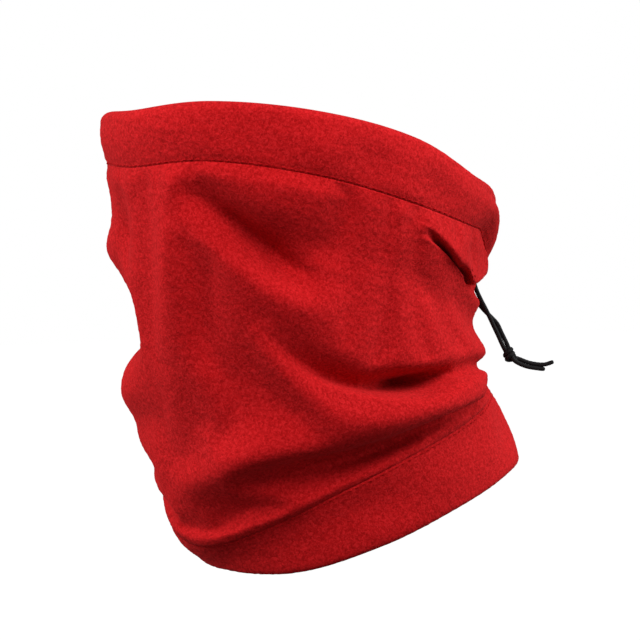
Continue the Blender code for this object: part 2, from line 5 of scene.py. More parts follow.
import bmesh
import bpy
import numpy as np
from mathutils import Vector
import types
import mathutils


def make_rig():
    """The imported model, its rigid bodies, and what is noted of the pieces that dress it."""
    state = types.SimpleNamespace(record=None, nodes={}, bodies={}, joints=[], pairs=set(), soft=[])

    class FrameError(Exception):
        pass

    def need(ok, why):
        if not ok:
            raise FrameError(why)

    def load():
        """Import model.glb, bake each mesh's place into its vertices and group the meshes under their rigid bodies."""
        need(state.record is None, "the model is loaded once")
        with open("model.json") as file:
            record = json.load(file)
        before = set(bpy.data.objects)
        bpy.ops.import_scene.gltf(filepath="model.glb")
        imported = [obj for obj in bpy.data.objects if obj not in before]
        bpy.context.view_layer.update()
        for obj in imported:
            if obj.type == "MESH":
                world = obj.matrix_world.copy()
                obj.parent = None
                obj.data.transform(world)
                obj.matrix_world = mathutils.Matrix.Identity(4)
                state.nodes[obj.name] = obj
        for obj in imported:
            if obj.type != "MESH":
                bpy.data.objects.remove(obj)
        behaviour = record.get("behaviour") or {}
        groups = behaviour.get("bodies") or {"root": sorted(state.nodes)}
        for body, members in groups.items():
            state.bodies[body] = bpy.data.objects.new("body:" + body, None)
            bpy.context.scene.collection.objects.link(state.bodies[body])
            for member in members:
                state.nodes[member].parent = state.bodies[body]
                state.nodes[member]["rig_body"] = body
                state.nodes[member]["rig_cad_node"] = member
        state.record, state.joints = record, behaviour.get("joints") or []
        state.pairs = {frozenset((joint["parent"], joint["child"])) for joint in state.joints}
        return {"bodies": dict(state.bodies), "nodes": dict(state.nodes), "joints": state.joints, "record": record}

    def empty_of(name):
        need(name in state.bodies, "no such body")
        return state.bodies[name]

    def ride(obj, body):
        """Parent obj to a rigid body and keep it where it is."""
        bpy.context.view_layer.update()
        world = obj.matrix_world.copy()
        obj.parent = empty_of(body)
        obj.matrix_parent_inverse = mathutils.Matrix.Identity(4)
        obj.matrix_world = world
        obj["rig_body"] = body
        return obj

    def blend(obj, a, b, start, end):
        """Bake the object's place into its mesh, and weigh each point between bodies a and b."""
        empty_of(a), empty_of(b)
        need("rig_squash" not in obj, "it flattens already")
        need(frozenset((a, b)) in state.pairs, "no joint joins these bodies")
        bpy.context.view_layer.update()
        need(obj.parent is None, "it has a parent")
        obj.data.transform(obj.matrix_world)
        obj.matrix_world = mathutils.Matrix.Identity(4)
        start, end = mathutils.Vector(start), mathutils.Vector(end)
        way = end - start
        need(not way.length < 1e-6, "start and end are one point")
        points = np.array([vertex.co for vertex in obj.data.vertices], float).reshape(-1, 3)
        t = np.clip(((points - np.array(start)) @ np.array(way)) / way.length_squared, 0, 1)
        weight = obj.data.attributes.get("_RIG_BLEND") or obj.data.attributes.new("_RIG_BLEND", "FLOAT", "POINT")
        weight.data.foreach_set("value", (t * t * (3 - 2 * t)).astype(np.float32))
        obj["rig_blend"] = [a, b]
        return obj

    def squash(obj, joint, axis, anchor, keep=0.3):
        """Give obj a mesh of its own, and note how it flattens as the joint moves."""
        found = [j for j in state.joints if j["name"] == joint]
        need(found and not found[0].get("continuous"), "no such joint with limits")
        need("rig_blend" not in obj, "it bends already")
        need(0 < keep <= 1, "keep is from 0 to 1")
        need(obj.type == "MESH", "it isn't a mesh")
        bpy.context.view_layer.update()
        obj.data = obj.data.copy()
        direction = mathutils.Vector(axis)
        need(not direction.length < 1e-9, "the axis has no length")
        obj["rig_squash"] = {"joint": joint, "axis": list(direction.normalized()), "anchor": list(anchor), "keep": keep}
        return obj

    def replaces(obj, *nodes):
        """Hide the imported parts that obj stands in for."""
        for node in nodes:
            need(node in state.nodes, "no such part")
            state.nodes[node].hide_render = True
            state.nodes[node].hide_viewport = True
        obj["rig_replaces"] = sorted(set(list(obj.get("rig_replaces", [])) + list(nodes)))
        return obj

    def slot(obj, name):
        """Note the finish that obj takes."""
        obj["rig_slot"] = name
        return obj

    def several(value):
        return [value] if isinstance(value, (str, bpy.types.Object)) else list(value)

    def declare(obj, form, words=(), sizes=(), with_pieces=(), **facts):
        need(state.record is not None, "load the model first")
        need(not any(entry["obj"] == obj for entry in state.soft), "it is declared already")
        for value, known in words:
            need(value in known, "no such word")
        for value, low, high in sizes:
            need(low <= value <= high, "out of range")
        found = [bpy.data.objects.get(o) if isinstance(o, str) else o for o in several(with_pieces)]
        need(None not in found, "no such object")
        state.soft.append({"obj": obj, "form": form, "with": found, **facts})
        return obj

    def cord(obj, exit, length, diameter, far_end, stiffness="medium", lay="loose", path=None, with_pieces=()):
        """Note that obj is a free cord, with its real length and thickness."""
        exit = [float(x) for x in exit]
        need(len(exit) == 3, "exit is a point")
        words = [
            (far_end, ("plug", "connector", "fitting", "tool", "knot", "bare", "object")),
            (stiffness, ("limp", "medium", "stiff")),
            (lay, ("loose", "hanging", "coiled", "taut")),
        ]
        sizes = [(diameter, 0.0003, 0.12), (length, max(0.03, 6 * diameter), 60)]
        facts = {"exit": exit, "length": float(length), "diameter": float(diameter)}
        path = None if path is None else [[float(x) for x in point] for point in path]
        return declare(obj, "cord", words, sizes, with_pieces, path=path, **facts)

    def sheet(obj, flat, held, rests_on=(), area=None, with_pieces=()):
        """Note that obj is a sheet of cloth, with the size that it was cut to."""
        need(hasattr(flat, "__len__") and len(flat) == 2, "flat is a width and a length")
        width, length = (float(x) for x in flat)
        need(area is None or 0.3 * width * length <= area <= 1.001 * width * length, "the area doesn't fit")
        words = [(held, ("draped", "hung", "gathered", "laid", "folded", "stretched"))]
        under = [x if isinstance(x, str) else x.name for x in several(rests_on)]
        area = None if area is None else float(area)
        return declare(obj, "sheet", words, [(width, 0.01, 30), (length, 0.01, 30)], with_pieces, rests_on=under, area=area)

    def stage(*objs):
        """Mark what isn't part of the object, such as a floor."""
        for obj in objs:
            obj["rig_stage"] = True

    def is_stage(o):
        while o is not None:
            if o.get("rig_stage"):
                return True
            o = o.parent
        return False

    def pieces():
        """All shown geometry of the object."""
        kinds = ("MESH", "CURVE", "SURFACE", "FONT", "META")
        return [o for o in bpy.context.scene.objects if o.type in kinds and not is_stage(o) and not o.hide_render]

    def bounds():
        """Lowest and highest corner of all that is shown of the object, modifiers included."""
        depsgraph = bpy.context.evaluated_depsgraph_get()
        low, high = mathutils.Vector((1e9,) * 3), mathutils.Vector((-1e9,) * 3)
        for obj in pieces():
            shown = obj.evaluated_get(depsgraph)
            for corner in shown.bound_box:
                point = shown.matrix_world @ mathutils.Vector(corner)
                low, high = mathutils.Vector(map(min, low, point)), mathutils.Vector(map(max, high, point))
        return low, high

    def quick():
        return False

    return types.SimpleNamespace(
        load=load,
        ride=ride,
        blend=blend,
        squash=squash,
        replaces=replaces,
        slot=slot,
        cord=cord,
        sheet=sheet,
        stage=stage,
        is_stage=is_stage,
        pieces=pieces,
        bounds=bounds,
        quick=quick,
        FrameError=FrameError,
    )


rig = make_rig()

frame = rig.load()
CAD_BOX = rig.bounds()

MM = 0.001

# Camera: where the photograph was taken from, and what it looks at.
VIEW_AZIMUTH = 50.0
VIEW_ELEVATION = 3.0
VIEW_DISTANCE = 900.0
VIEW_WIDTH = 294.4
VIEW_AIM = (4.6, 7.8)

# What each piece of cloth was cut to, in metres, before it was sewn and worn.
PANEL_FLAT = (0.54, 0.17)
PANEL_AREA = 0.064
HEM_FLAT = (0.54, 0.056)
LABEL_FLAT = (0.018, 0.045)

# The cord lock, and the spring inside it: how far along the run it stands, how far its floor is from
# the strands, and the share of its length that is left when the button is pressed.
LOCK_NODES = ("cord_lock_barrel", "cord_lock_plunger", "cord_lock_spring")
LOCK_ALONG_RUN = 6.5
SPRING_FLOOR = 7.6
SPRING_KEEP = 0.42

# Studio light: how far right, up and toward the camera each lamp stands, its size in metres and its watts.
FILL_STRENGTH = 0.165
LIGHTS = (
    ("top_light", (0.05, 0.49, 0.56), (0.4, 0.4), 4.3),
    ("left_light", (-1.0, 0.3, 0.0), (0.5, 0.8), 10.0),
    ("right_light", (0.95, 0.4, -0.1), (0.5, 0.8), 9.4),
    ("under_light", (0.0, -0.7, 0.6), (0.8, 0.5), 3.1),
)

# The pale floor: how far it reaches and how far it is below the gaiter, in metres, and how bright it is.
FLOOR_REACH = 6.0
FLOOR_DROP = 0.35
FLOOR_GLOW = 0.98

# Rings of the tube: half width, half depth, centre along Y, lean toward the wearer's left, and the
# heights at bearings 0 (nape), 30, 60, 90 (the wearer's left), 120, 150 and 180 (chin), in millimetres.
RINGS = {
    "lower_rim": (71, 79, 31, 0, (-58, -59, -62, -73, -88.5, -101, -103.5)),
    "lower_seam": (71, 83, 14, 0, (-27, -28, -31, -44, -62, -80, -90)),
    "upper_seam": (77, 96, -3, 0, (27, 33, 47, 60, 72, 78, 76)),
    "upper_rim": (79, 98, -4, 0.03, (53, 57, 68.5, 86.5, 97, 101.5, 100)),
}
WAIST = (70, 86, 2)
FLEECE = 2.4
CHANNEL_WIDTH = 4.4
FOLD_SLIT = 0.5

# The two eyelets in the upper hem: their bearing, their share of the hem's height, and the hole with its
# depth and how far in its middle lies. The cloth is flat as far as EYELET_FLAT from an eyelet's centre,
# and past EYELET_CALM more it is as uneven as elsewhere.
EYELET_BEARING = 4.8
EYELET_HEIGHT = 0.66
EYELET_HOLE = 3.8
HOLE_DEPTH = 6.4
HOLE_SINK = 1.0
EYELET_FLAT = 3.0
EYELET_CALM = 7.0
HEM_SWELL = 0.3

# A strand's way out through its eyelet, as (sideways, depth), and the loop above the lock, as (out, up).
CORD_WAY_OUT = ((4.6, 5.24), (3.0, 5.34), (1.3, 5.14), (0.2, 3.84), (0, 1.8), (0, -1.5), (0.1, -3.6))
CORD_LOOP = (1.0, 1.2)

# The strands' run through the lock to the knot, the knot and the cut ends. Each row of RUN is the distance
# from the run's start (the first lies just before it), how far apart the strands are as a share of the
# pitch, how far they have twisted round each other in degrees, and how far both bow in toward the tube.
CORD_PITCH = 2.7
RUN_START = Vector((-3.7, 98.6, 40.4))
RUN = ((-0.9, 1, 0, 0), (1, 1, 0, 0), (6.5, 1, 0, 0), (12.2, 1, 0, 0.05), (18, 0.97, 10, 1.7),
       (24, 0.9, 36, 2.7), (29, 0.85, 66, 2.6), (34, 0.83, 102, 1.8), (38.5, 0.9, 146, 0.8),
       (42.6, 1, 179, 0.05), (47.5, 1, 180, 0), (52.3, 1.08, 180, 0), (54.4, 1.05, 180, 0))
STRETCH_FROM = 43
RUN_BOW = Vector((-0.64, -0.77, 0))
KNOT_CENTRE = Vector((12.0, 118.5, -13.3))
TAIL_ENDS = {"left": Vector((25.5, 135.5, -16.4)), "right": Vector((23.0, 132.0, -20.0))}

# The tails between the knot and their ends: share of the way, of the sag, and of the gap between the
# ends that draws them together.
TAIL_SAG = 1.4
TAIL_BENDS = ((0.35, 1.0, 0.12), (0.75, 0.9, 0.3))

# The cord: radius, sides, spacing of its rings, relief of the braid as shares of the radius, turns of the
# braid round it and along a millimetre of it, and its lengths from the hem to the cut ends in metres.
CORD_RADIUS = 1.05
CORD_SIDES = 16
CORD_SPACING = 0.35
BRAID_RELIEF = 0.075
BRAID_SINK = 0.02
BRAID_YARNS = 4
BRAID_SLANT = 3.4
CORD_LENGTHS = {"left": 0.109, "right": 0.099}

# Points of the cloth: columns round the tube, and rows up the panel, its lining and the hems.
COLUMNS = 480
PANEL_ROWS = 140
LINING_ROWS = 56
HEM_ROWS = 22

# Unevenness of the slack cloth and of the hems: wavelength and height.
CLOTH_WAVES = (55, 0.8)
HEM_WAVES = (42, 0.6)

# The pile: depth, and wavelengths of its curls and of its fuzz.
PILE_DEPTH = 0.11
PILE_CURL = 4.6
PILE_FUZZ = 2.9

# The hem's swelling and its stitches: how much they pinch it, how far from the seam, their thread, their
# length in columns, and one stitch's route, as (columns, how far it stands out).
HEM_PUFF = 0.9
STITCH_PINCH = 0.3
STITCH_LINE = 1.2
STITCH_RADIUS = 0.26
STITCH_COLUMNS = 3
STITCH_ROUTE = ((0, -0.5), (0.35, 0.05), (1.0, 0.22), (1.65, 0.05), (2.0, -0.5))

# The seam allowance and the label inside the nape, as bearings and shares of the panel's height, with
# their thickness, how far they lie off the cloth, and how far the label's free end lifts.
SEAM_DEGREES = 5.0
SEAM_HEIGHTS = (0.08, 0.93)
SEAM_THICK = 1.7
SEAM_GAP = 0.1
LABEL_BEARINGS = (5, 19)
LABEL_HEIGHTS = (0.36, 0.9)
LABEL_THICK = 0.35
LABEL_GAP = 0.5
LABEL_LIFT = 1.6

# Cloth simulation: coarse rows and column step, frames, how firmly the cloth keeps its folds, and the
# furthest that a point may settle.
SETTLE_ROWS = 40
SETTLE_STRIDE = 4
SETTLE_FRAMES = 16
SETTLE_HOLD = 0.25
SETTLE_LIMIT = 4.0

# Arc length of a degree of bearing on the side of the tube, for distances between folds.
MM_PER_DEGREE = 1.36

# Folds of the slack cloth. Each has a route of (bearing, height, how far the crest stands out), the
# widths above and below the crest at the route's start and at its end, and how far the crest sags.
FOLDS = {
    "under_hem_hollow": (((163, 67, 0), (158, 63.5, -4), (152, 59, -8), (145, 53, -11), (138, 45.5, -12),
                          (131, 37.5, -11.5), (125, 32.5, -7), (119, 29.5, -3), (111, 27, -1), (102, 25, 0)),
                         (9, 10), (4, 6), 0),
    "ledge_hollow": (((154, 60, 0), (147, 55, -3), (139, 49.5, -5.5), (131, 46, -7.5), (124, 43.5, -6.5),
                      (116, 42.5, -5), (108, 41.5, -3), (96, 41, 0)), (9, 8), (11, 13), 0),
    "upper_cowl": (((161, 57, 0), (154, 52, 1.5), (148, 46, 2.5), (141, 38, 3.5), (134, 28.5, 3.5),
                    (128, 22, 3), (122, 17.5, 2), (114, 13.5, 1), (102, 10, 0)), (5, 8), (14, 14), 0),
    "side_dip": (((108, 43, 0), (98, 36, -1.6), (88, 29, -2), (78, 22, -2), (66, 17, -1.6), (52, 14, 0)),
                 (8, 7), (7, 6), 0),
    "middle_pocket": (((138, 6, 0), (133, 1, -2), (127, -5.5, -5), (120, -11, -8), (112, -15, -10),
                       (104, -17, -11), (96, -17.5, -13), (89, -16.5, -14), (82, -14, -9), (73, -12, -7),
                       (60, -11, -6), (48, -12, -6.5), (36, -12.5, -6), (22, -12.5, 0)), (8, 2.2), (4, 2), 0),
    "pocket": (((110, -14, 0), (103, -15.5, -5), (96, -16.5, -11), (89, -16, -12), (82, -14, -6),
                (75, -12, 0)), (8, 4), (3, 2), 0),
    "lower_cowl": (((142, 13, 0), (140, 5, 1.5), (137.5, -4, 3.5), (133.5, -13, 4.5), (128, -21, 5),
                    (121, -26, 4), (111, -27.5, 3.5), (100, -26, 3.5), (90, -22.5, 3.5), (78, -18.5, 3),
                    (64, -16, 2), (46, -16, 1)), (5.5, 4.5), (14, 9), -3),
    "long_edge": (((186, -62, 0), (174, -57, 2), (164, -53, 3.5), (152, -46, 5.5), (139, -40.5, 8),
                   (127, -38, 9), (117, -35.5, 9), (104, -31.5, 9), (90, -26.5, 8), (77, -22.5, 6),
                   (62, -20, 3), (48, -18, 0)), (10, 9), (9, 3.5), 3),
    "edge_shadow": (((192, -84, 0), (178, -80, -1), (168, -76, -2), (158, -70, -3), (148, -62, -4.5),
                     (138, -54, -7), (127, -48, -8.5), (117, -44.5, -8.5), (104, -39.5, -7), (90, -34, -5),
                     (77, -29, -2), (66, -26, 0)), (14, 9), (9, 15), 0),
    "hem_crease": (((89, 51, 0), (84, 48.5, -7), (79, 45.5, -12), (74, 42, -14), (69.5, 38.5, -13),
                    (65.5, 35, -9.5), (62, 32, -4), (59, 30, 0)), (2.2, 2.4), (2.6, 3.0), 0),
    "ear_notch": (((66, 35, 0), (60, 30.5, -6), (52, 27.5, -10.5), (44, 25.5, -11.5), (36, 24.5, -11),
                   (26, 24, -7), (14, 24, 0)), (2.6, 3.4), (2.6, 4.5), 0),
    "hem_roll": (((92, 58, 0), (86, 55, 1), (80, 50.5, 2), (75, 45.5, 2.5), (70, 40.5, 2.5), (65, 36.5, 2.5),
                  (58, 34, 2), (46, 33, 1), (30, 32, 0)), (6, 5), (3.4, 3.0), 9.5),
    "side_roll": (((80, -1, 0), (64, -2, 0.4), (50, -4, 0.4), (38, -5, 0.4), (22, -5, 0.2), (10, -4, 0)),
                  (6, 6), (6, 5), 0),
    "side_hollow": (((84, -30, 0), (66, -30, -3), (52, -31, -9), (38, -32, -12), (24, -32, -8), (10, -30, 0)),
                    (14, 14), (12, 12), 0),
    "side_waist": (((84, 12, 0), (66, 11, -1.5), (52, 10, -5), (38, 9, -6), (22, 8, -4), (8, 8, 0)),
                   (10, 10), (11, 12), 0),
    "chin_ridge": (((162, 80, 0), (163, 70, 2.5), (165, 54, 4), (167, 40, 4.5), (169, 24, 4), (172, 8, 2.5),
                    (174, -6, 0)), (9, 9), (9, 9), 0),
    "cheek_hollow": (((153, 46, 0), (154, 34, -2.5), (156, 20, -3), (158, 6, -3), (160, -10, 0)),
                     (8, 8), (8, 8), 0),
    "chin_dimple": (((186, 68, 0), (190, 60, -2), (193, 52, -3.5), (195, 44, -2.5), (196, 34, 0)),
                    (8, 8), (8, 8), 0),
    "chin_roll": (((196, 52, 0), (204, 46, 3), (214, 42, 6), (226, 40, 6), (240, 40, 3)),
                  (12, 12), (9, 9), 0),
    "chin_waist": (((188, 11, 0), (197, 10, -5), (206, 9, -9), (220, 9, -11), (236, 9, -9), (254, 9, 0)),
                   (14, 13), (15, 14), 0),
    "throat_roll": (((184, -13, 0), (194, -17, 2.5), (206, -20, 6.5), (218, -22, 9), (232, -22, 6)),
                    (10, 14), (13, 34), 0),
    "throat_slope": (((188, -58, 0), (200, -47, 2.5), (212, -44, 5), (226, -44, 5), (240, -44, 2)),
                     (12, 14), (12, 15), 0),
    "nape_dip": (((30, 4, 0), (14, 6, -2), (0, 8, -3), (-16, 4, -2), (-34, -4, 0)), (12, 12), (12, 12), 0),
}

# Folds with upright walls that are pushed straight along one way, given as (x, y), in under their lips.
SLITS = ("hem_crease",)
SLIT_WAY = (0.766, -0.643)

# Folds that the far side has too, turned round by the shift in degrees and shallower by the share.
MIRRORED = ("under_hem_hollow", "upper_cowl", "middle_pocket", "lower_cowl", "long_edge", "edge_shadow",
            "hem_crease", "ear_notch", "hem_roll", "side_hollow")
MIRROR_SHIFT = 32.0
MIRROR_SHARE = 0.85

# The upper seam throws up a ridge in the slack cloth below it: distance from the seam, height, width.
# Both seams pull the cloth in right beside them: depth, width.
SEAM_RIDGE = (6.0, 1.0, 5.0)
SEAM_PULL = (0.8, 2.0)

# Where the tube's sides turn back: bearing and spread in degrees. There the upper seam is drawn in and
# lifted, the upper rim rises, the upper hem swells out and the lower seam is drawn in.
EAR_BEARING = 44
EAR_SPREAD = 17
EAR_TUCK = 5.4
EAR_LIFT = 7.5
EAR_RISE = 3.5
EAR_SWELL = 3.8
EAR_TAPER = 3.5

# The lower seam is drawn in below the long fold: bearing, spread in degrees and depth.
FOLD_TUCK = (148, 42, 9)

# The lower hem is hollow below that: bearing, spread in degrees and depth.
HEM_HOLLOW = (150, 45, 2.4)

# The seam that closes the tube at the nape: depth and half width of its groove.
NAPE_GROOVE = (0.9, 1.1)


def ring_height(heights, bearing):
    """Catmull-Rom heights around a ring that is the same on the wearer's left and right."""
    heights = np.array(heights, float)
    last = len(heights) - 1
    folded = np.abs((bearing + 180) % 360 - 180) / (180 / last)
    whole = np.minimum(folded.astype(int), last - 1)
    share = folded - whole

    def at(index):
        index = np.abs(index)
        return heights[np.where(index <= last, index, 2 * last - index)]

    before, start, end, after = (at(whole + step) for step in (-1, 0, 1, 2))
    bend = 2 * before - 5 * start + 4 * end - after
    twist = 3 * (start - end) + after - before
    return start + 0.5 * share * (end - before + share * (bend + share * twist))


def ring_points(ring, bearing):
    half_width, half_depth, centre, lean, heights = RINGS[ring]
    turn = np.radians(bearing)
    across = half_width * np.sin(turn)
    height = ring_height(heights, bearing) + lean * across
    points = np.stack([across, centre + half_depth * np.cos(turn), height], -1)
    outward = np.stack([np.sin(turn), np.cos(turn), np.zeros_like(turn)], -1)
    if ring == "upper_seam":
        points -= outward * (EAR_TUCK * ear(bearing))[..., None]
        points[..., 2] += EAR_LIFT * ear(bearing)
    if ring == "upper_rim":
        points[..., 2] += EAR_RISE * ear(bearing)
    if ring == "lower_seam":
        place, spread, depth = FOLD_TUCK
        away = (bearing - place + 180) % 360 - 180
        drawn_in = depth * np.exp(-(away / spread) ** 2) + EAR_TAPER * ear(bearing)
        points -= outward * drawn_in[..., None]
    return points


def ear(bearing):
    """1 where the sides of the tube turn back, and 0 elsewhere."""
    folded = np.abs((bearing + 180) % 360 - 180)
    return np.exp(-((folded - EAR_BEARING) / EAR_SPREAD) ** 2)


def panel_points(bearing, share):
    """The unfolded cloth between the seams, share 0 at the lower seam and 1 at the upper."""
    low, high = ring_points("lower_seam", bearing), ring_points("upper_seam", bearing)
    half_width, half_depth, centre = WAIST
    turn = np.radians(bearing)
    middle = np.stack([half_width * np.sin(turn), centre + half_depth * np.cos(turn),
                       (low[..., 2] + high[..., 2]) / 2], -1)
    s = share[..., None]
    points = low * (1 - s) * (1 - 2 * s) + middle * 4 * s * (1 - s) + high * s * (2 * s - 1)
    points[..., 2] = low[..., 2] + (high[..., 2] - low[..., 2]) * share
    return points


def smoothstep(value, low, high):
    share = np.clip((value - low) / (high - low), 0, 1)
    return share * share * (3 - 2 * share)


def catmull(points, per_span):
    """Dense points on a smooth curve through the rows of an array."""
    points = np.asarray(points, float)
    padded = np.vstack([2 * points[0] - points[1], points, 2 * points[-1] - points[-2]])
    share = np.arange(per_span)[:, None] / per_span
    spans = []
    for index in range(len(points) - 1):
        before, start, end, after = padded[index:index + 4]
        bend = 2 * before - 5 * start + 4 * end - after
        twist = 3 * (start - end) + after - before
        spans.append(start + 0.5 * share * (end - before + share * (bend + share * twist)))
    return np.vstack([*spans, points[-1:]])


def fold_pushes(bearing, height):
    """How far the folds push the cloth out, down, and along x and y, at each (bearing, height)."""
    outward = np.zeros_like(bearing)
    aside = np.zeros(bearing.shape + (2,))
    sag = np.zeros_like(bearing)
    for name, (route, first_widths, last_widths, droop) in FOLDS.items():
        copies = [(1, 0.0, 1.0)]
        if name in MIRRORED:
            copies.append((-1, MIRROR_SHIFT, MIRROR_SHARE))
        for side, shift, share in copies:
            places = [(side * (b - shift), h - shift / 6, s * share) for b, h, s in route]
            power = 4 if name in SLITS else 2
            push = fold_push(places, first_widths, last_widths, side, bearing, height, power)
            if name in SLITS:
                aside += push[..., None] * np.array((side * SLIT_WAY[0], SLIT_WAY[1]))
            else:
                outward += push
            size = max(abs(s) for _, _, s in places)
            sag += np.abs(push) / size * droop
    return outward, sag, aside


def fold_push(route, first_widths, last_widths, side, bearing, height, power):
    """One fold's push: a bell across its route, with a width on each side; a high power makes it steep."""
    dense = catmull(route, 8)
    centre = (dense[:, 0].min() + dense[:, 0].max()) / 2
    turned = (bearing - centre + 180) % 360 - 180 + centre
    across, up = turned * MM_PER_DEGREE, height
    route_x, route_z = dense[:, 0] * MM_PER_DEGREE, dense[:, 1]
    nearest = np.full(bearing.shape, 1e9)
    push = np.zeros_like(bearing)
    last = len(dense) - 1
    for index in range(last):
        above, below = (a + (b - a) * index / last for a, b in zip(first_widths, last_widths))
        ax, az, bx, bz = route_x[index], route_z[index], route_x[index + 1], route_z[index + 1]
        run_x, run_z = bx - ax, bz - az
        length = run_x * run_x + run_z * run_z
        t = np.clip(((across - ax) * run_x + (up - az) * run_z) / length, 0, 1)
        dx, dz = across - ax - t * run_x, up - az - t * run_z
        distance = np.hypot(dx, dz)
        upper = (run_z * dx - run_x * dz) * side > 0
        size = dense[index, 2] + (dense[index + 1, 2] - dense[index, 2]) * t
        width = np.where(upper, above, below)
        value = size * np.exp(-(distance / width) ** power)
        closer = distance < nearest
        nearest = np.where(closer, distance, nearest)
        push = np.where(closer, value, push)
    return push


def waves(points, wavelength, count, seed):
    """A smooth random field of about the given wavelength, from a sum of plane waves."""
    random = np.random.default_rng(seed)
    ways = random.normal(size=(count, 3))
    ways /= np.linalg.norm(ways, axis=1)[:, None]
    ways *= (2 * np.pi / wavelength * random.uniform(0.75, 1.3, count))[:, None]
    phases = random.uniform(0, 2 * np.pi, count)
    field = np.zeros(points.shape[:-1])
    for way, phase in zip(ways, phases):
        field += np.cos(points @ way + phase)
    return field * math.sqrt(2 / count)


def grid_normals(points):
    """Outward normals of a grid of rows up the tube and columns around it."""
    around = np.roll(points, -1, 1) - np.roll(points, 1, 1)
    upward = np.gradient(points, axis=0)
    normals = np.cross(upward, around)
    normals /= np.linalg.norm(normals, axis=-1, keepdims=True)
    return normals


def cloth_sheet():
    """The outer face from the lower rim to the upper rim, and the rows that are the seams."""
    bearings = np.arange(COLUMNS) * 360 / COLUMNS
    grid = np.tile(bearings, (PANEL_ROWS + 1, 1))
    shares = np.tile(np.linspace(0, 1, PANEL_ROWS + 1)[:, None], (1, COLUMNS))
    panel = panel_points(grid, shares)
    turn = np.radians(grid)
    outward = np.stack([np.sin(turn) / WAIST[0], np.cos(turn) / WAIST[1], np.zeros_like(turn)], -1)
    outward /= np.linalg.norm(outward, axis=-1, keepdims=True)
    push, sag, aside = fold_pushes(grid, panel[..., 2])
    reach = np.minimum(shares, 1 - shares) * (panel[-1:, :, 2] - panel[:1, :, 2])
    held = smoothstep(reach, -1, 9)
    push *= held
    sag *= held
    distance, rise, width = SEAM_RIDGE
    under_seam = (1 - shares) * (panel[-1:, :, 2] - panel[:1, :, 2])
    push += rise * np.exp(-((under_seam - distance) / width) ** 2) * np.clip(under_seam / distance, 0, 1)
    pull, pull_width = SEAM_PULL
    push -= pull * np.exp(-(reach / pull_width) ** 2)
    panel += outward * push[..., None]
    panel[..., 2] -= sag
    panel[..., :2] += aside * held[..., None]
    wavelength, unevenness = CLOTH_WAVES
    panel += outward * (waves(panel, wavelength, 12, 5) * unevenness * held)[..., None]
    lower = hem_sheet("lower_rim", "lower_seam")
    upper = hem_sheet("upper_seam", "upper_rim")
    sheet = np.concatenate([lower[:-1], panel, upper[1:]])
    depth, width = NAPE_GROOVE
    from_seam = ((bearings + 180) % 360 - 180) * MM_PER_DEGREE
    sheet[..., 1] -= depth * np.exp(-(from_seam / width) ** 2)
    return sheet, HEM_ROWS, HEM_ROWS + PANEL_ROWS


def hem_sheet(low_ring, high_ring):
    """A hem band's outer face, straight between its rings."""
    bearings = np.arange(COLUMNS) * 360 / COLUMNS
    low, high = ring_points(low_ring, bearings), ring_points(high_ring, bearings)
    share = np.linspace(0, 1, HEM_ROWS + 1)[:, None, None]
    return low + (high - low) * share


def grid_object(name, rings, finish):
    """A closed mesh from rings of points: each row is one ring round the tube."""
    rows, columns = rings.shape[:2]
    index = np.arange(rows * columns).reshape(rows, columns)
    after_row, after_column = np.roll(index, -1, 0), np.roll(index, -1, 1)
    diagonal = np.roll(after_row, -1, 1)
    faces = np.stack([index, after_row, diagonal, after_column], -1).reshape(-1, 4)
    mesh = bpy.data.meshes.new(name)
    mesh.from_pydata((rings.reshape(-1, 3) * MM).tolist(), [], faces.tolist())
    mesh.shade_smooth()
    mesh.materials.append(finish)
    obj = bpy.data.objects.new(name, mesh)
    bpy.context.collection.objects.link(obj)
    return obj


def pile(points, normals, depth=PILE_DEPTH):
    """Short felted pile: a slightly uneven outer face."""
    grain = 1 - np.abs(waves(points, PILE_CURL, 26, 11)) * 0.9
    fine = waves(points, PILE_FUZZ, 26, 12)
    return points + normals * (grain * depth + fine * depth * 0.6)[..., None]


def panel_piece(sheet, normals, low, high, finish):
    outer = pile(sheet[low:high + 1], normals[low:high + 1])
    rows = np.linspace(high, low, LINING_ROWS).round().astype(int)
    lining = sheet[rows] - normals[rows] * FLEECE
    return grid_object("fleece_body", np.concatenate([outer, lining]), finish)


def hem_face(outer, normals, hollow, calm):
    """The hem's outer face, swollen between its seam and its rim, and pinched along the stitches."""
    height = np.linalg.norm(outer[-1] - outer[0], axis=-1)
    share = np.linspace(0, 1, len(outer))[:, None]
    flat_share = 1 - (2 * FLEECE + hollow) / 2 / height
    distance = share * height * flat_share
    bearings = np.arange(COLUMNS) * 360 / COLUMNS
    is_upper = hollow == CHANNEL_WIDTH
    puff = np.zeros_like(distance)
    if is_upper:
        puff += EAR_SWELL * ear(bearings) * np.sin(np.pi * share ** 1.5)
    puff += HEM_PUFF * np.sin(np.pi * share) ** 0.7
    puff -= STITCH_PINCH * np.exp(-((distance - STITCH_LINE) / 1.2) ** 2)
    wavelength, unevenness = HEM_WAVES
    puff += waves(outer, wavelength, 12, 7) * unevenness * np.sin(np.pi * share)
    if not is_upper:
        place, spread, depth = HEM_HOLLOW
        near = np.exp(-((bearings - place) / spread) ** 2)
        puff -= depth * near * np.sin(np.pi * share ** 0.8)
    puff = HEM_SWELL + (puff - HEM_SWELL) * calm
    return outer[0] + (outer[-1] - outer[0]) * (share * flat_share)[..., None] + normals * puff[..., None]


